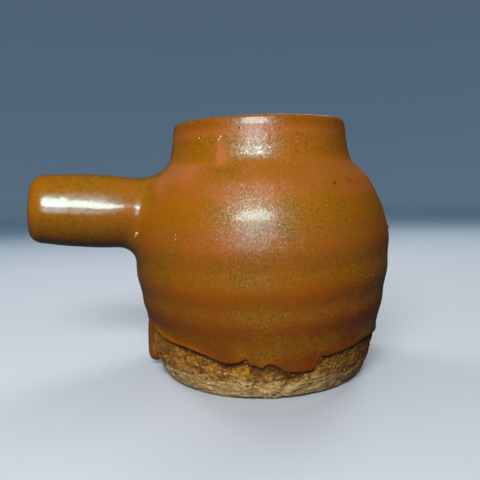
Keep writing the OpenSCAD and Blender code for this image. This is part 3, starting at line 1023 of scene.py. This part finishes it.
def clay_color(s, fine):
    """Golden brown above, pale and sandy below; painted shade in its pits and crevices, on its right side and
    under the glaze's edge, where the clay is also fired dark.
    """
    height = s.node("SeparateXYZ", {0: s.place}).outputs["Z"]
    low = s.span(s.math("ADD", height, s.times(s.noise(6, 3), 0.007)), 0.0075, 0.0130)
    wide = s.noise(8, 4, 0.6)
    pale = s.mix(s.span(wide, 0.32, 0.66), PALE_CLAY, SANDY_CLAY)
    gold = s.mix(s.span(wide, 0.35, 0.65), BROWN_CLAY, GOLD_CLAY)
    # Painted shade: dark crevices and pits are scattered through the colour, apart from the clay's relief.
    crevice = s.times(s.span(fine, 0.36, 0.54, 0.76, 0.0), s.span(low, 0.0, 1.0, 0.7, 1.0))
    sand = s.times(s.span(s.cells(1.2), 0.0, 0.45, 1.0, 0.0), s.span(s.noise(2.6), 0.48, 0.66, 0.0, 0.8))
    pit = s.times(s.span(s.noise(1.5, 3, 0.75), 0.60, 0.69), 0.75)
    crumb = s.times(s.span(s.noise(1.2, 3, 0.7, s.scaled(0.93, 1.08, 1.2)), 0.55, 0.65), 0.72)
    color = s.mix(low, pale, gold)
    for share, paint in ((crevice, CREVICE_SHADE), (sand, SAND), (pit, PIT_SPOT_SHADE), (crumb, CRUMB)):
        color = s.mix(share, color, paint)
    # Painted shade: the clay is darkened in its pits' hollows and on the right side, and under the glaze's
    # edge both for its scorch and for the bead's shadow.
    for layer, share, paint in (("hollow", 0.75, HOLLOW_SHADE), ("scorch_and_shadow", 0.85, SCORCH_AND_SHADOW), ("side_shade", 0.9, SIDE_SHADE)):
        color = s.mix(s.times(s.layer(layer), share), color, paint)
    return color


def clay_material(name):
    """Bare stoneware, coarse and dry to the touch."""
    s = Shader(name)
    fine = s.noise(2.2, 4, 0.7)
    normal = s.bump(s.noise(1.4, 5, 0.72), 0.8, 0.8)
    normal = s.bump(s.cells(0.7), 0.15, 0.5, normal)
    roughness = s.span(fine, 0.3, 0.7, 0.80, 0.96)
    return s.set(color=clay_color(s, fine), roughness=roughness, normal=normal, specular=0.25)


def grain_material(name, dark, pale):
    """A melted grain: one colour that varies a little, under the same gloss as the glaze."""
    s = Shader(name)
    color = s.mix(s.span(s.noise(0.5, 3, 0.6), 0.38, 0.62), dark, pale)
    normal = s.bump(s.noise(0.35), 0.05, 0.5)
    roughness = s.span(s.noise(0.8), 0.3, 0.7, 0.25, 0.4)
    return s.set(color=color, roughness=roughness, normal=normal, ior=1.5, coat=0.5)


# -------- stage

CAMERA_AT = (-0.0561, -0.2067, 0.0744)
CAMERA_HEADING, CAMERA_PITCH, CAMERA_ROLL = math.radians(77), math.radians(-6.49), math.radians(1.39)
LENS = 40.5


def direction(azimuth, elevation):
    across = math.cos(elevation)
    return Vector((math.cos(azimuth) * across, math.sin(azimuth) * across, math.sin(elevation)))


def make_camera():
    forward = direction(CAMERA_HEADING, CAMERA_PITCH)
    flat = Vector((math.sin(CAMERA_HEADING), -math.cos(CAMERA_HEADING), 0))
    over = flat.cross(forward)
    right = flat * math.cos(CAMERA_ROLL) - over * math.sin(CAMERA_ROLL)
    up = flat * math.sin(CAMERA_ROLL) + over * math.cos(CAMERA_ROLL)
    camera = bpy.data.objects.new("camera", bpy.data.cameras.new("camera"))
    bpy.context.scene.collection.objects.link(camera)
    turn = Matrix((right, up, -forward)).transposed().to_4x4()
    camera.matrix_world = Matrix.Translation(CAMERA_AT) @ turn
    camera.data.lens, camera.data.sensor_width = LENS, 36.0
    camera.data.clip_start = 0.01
    bpy.context.scene.camera = camera


POT_MIDDLE = Vector((0, 0, 0.05))
WHITE = (1, 1, 1)
# Lamps: (name, azimuth, elevation, distance, (width, height), power, colour, what it leaves unlit). One
# that leaves "glossy" unlit makes no highlights, and one that leaves "diffuse" unlit makes nothing else.
LAMPS = (
    ("key", -111.7, 31, 0.46, (0.27, 0.10), 1.9, WHITE, "glossy"),
    ("shine", -110.6, 33.5, 0.46, (0.255, 0.10), 1.35, (0.82, 1.0, 0.93), "diffuse"),
    ("fill", -110, 62, 1.1, (0.9, 0.9), 0.7, WHITE, "glossy"),
    ("back_right", 42, 28, 0.7, (0.3, 0.3), 1.8, WHITE, "glossy"),
    ("back_left", 122, 28, 0.7, (0.3, 0.3), 1.9, WHITE, "glossy"),
    ("wash", 60, 70, 1.4, (1.2, 1.2), 3.0, WHITE, "glossy"),
    ("window", -112, 15, 0.46, (0.36, 0.24), 1.25, (0.68, 0.80, 1.0), "diffuse"),
    ("gleam", 68, 30, 0.7, (0.28, 0.12), 0.3, WHITE, "diffuse"),
)


def make_light(name, azimuth, elevation, distance, size, power, color, unlit):
    """An oval soft light, aimed at the pot's middle."""
    toward = direction(math.radians(azimuth), math.radians(elevation))
    data = bpy.data.lights.new(name, "AREA")
    data.shape, data.size, data.size_y = "ELLIPSE", size[0], size[1]
    data.energy, data.color = power, color
    lamp = bpy.data.objects.new(name, data)
    lamp.location = POT_MIDDLE + toward * distance
    lamp.rotation_mode = "QUATERNION"
    lamp.rotation_quaternion = (-toward).to_track_quat("-Z", "Y")
    bpy.context.scene.collection.objects.link(lamp)
    lamp.visible_camera = False
    setattr(lamp, "visible_" + unlit, False)
    return lamp


def fade_rim(data):
    """Makes an area lamp weaker towards its rim, so that its reflection ends softly."""
    n = Nodes(data)
    place = n.node("NewGeometry").outputs["Parametric"]
    offset = n.node("VectorMath", {0: place, 1: (0.5, 0.5, 0.0)}, operation="DISTANCE").outputs["Value"]
    n.feed(n.tree.nodes["Emission"].inputs["Strength"], n.span(offset, 0.1, 0.5, 1.0, 0.0))


def make_floor():
    """A flat pale floor that sweeps up all round into its own backdrop, darker and bluer far off, where it
    glows faintly blue as painted light.
    """
    flat, sweep, drop = 0.7, 1.6, -0.0002
    turn = columns(96)
    rows = [around(turn, r, drop) for r in (0.1, 0.3, 0.5, flat)]
    for a in np.radians(np.linspace(0, 78, 25))[1:]:
        rows.append(around(turn, flat + sweep * math.sin(a), drop + sweep * (1 - math.cos(a))))
    points = np.array(rows) / MM
    floor = make_piece("floor", points, caps=(0,))
    s = Shader("pale_floor")
    distance = s.vector("LENGTH", {0: s.place})["Value"]
    graded = s.mix(s.span(distance, 0.12, 0.75), NEAR_FLOOR, FAR_FLOOR)
    # Painted light: the far floor and backdrop glow faintly blue, more so further off.
    s.feed(s.bsdf.inputs["Emission Strength"], s.span(distance, 0.35, 1.1))
    s.bsdf.inputs["Emission Color"].default_value = (0.070, 0.112, 0.160, 1)
    floor.data.materials.append(s.set(color=graded, roughness=0.85, specular=0.1))
    floor.visible_glossy = False
    floor.visible_diffuse = False


def make_world():
    """A dim bluish room that is lighter below, as over a pale table."""
    world = bpy.data.worlds.new("studio")
    n = Nodes(world)
    sky = n.tree.nodes["Background"]
    sky.inputs["Color"].default_value = (0.36, 0.41, 0.47, 1)
    look = n.node("SeparateXYZ", {0: n.node("TexCoord").outputs["Generated"]})
    n.feed(sky.inputs["Strength"], n.span(look.outputs["Z"], -0.5, 0.05, 0.15, 0.05, "LINEAR"))
    bpy.context.scene.world = world


def make_stage():
    make_floor()
    make_world()
    lamps = {name: make_light(name, *settings) for name, *settings in LAMPS}
    fade_rim(lamps["window"].data)
    bpy.context.scene.view_settings.view_transform = "Standard"


def main():
    make_camera()
    make_stage()
    clay = clay_material("bare_stoneware")
    amber = glaze_material("amber_ash_glaze")
    # The inside's glaze is painted darker, as shade.
    inner = glaze_material("inner_ash_glaze", 0.35)
    dark = glaze_material("run_ash_glaze", 0.15)
    make_foot(clay)
    make_belly(clay)
    make_neck(clay)
    make_handle_clay(clay)
    make_outside_glaze(amber)
    make_inside_glaze(inner)
    handle = make_handle_glaze(amber)
    make_drip(dark)
    cream = grain_material("melted_grain", DARK_CREAM, CREAM)
    iron = grain_material("iron_grain", IRON, PALE_IRON)
    make_all_grains(cream, iron, handle)


main()
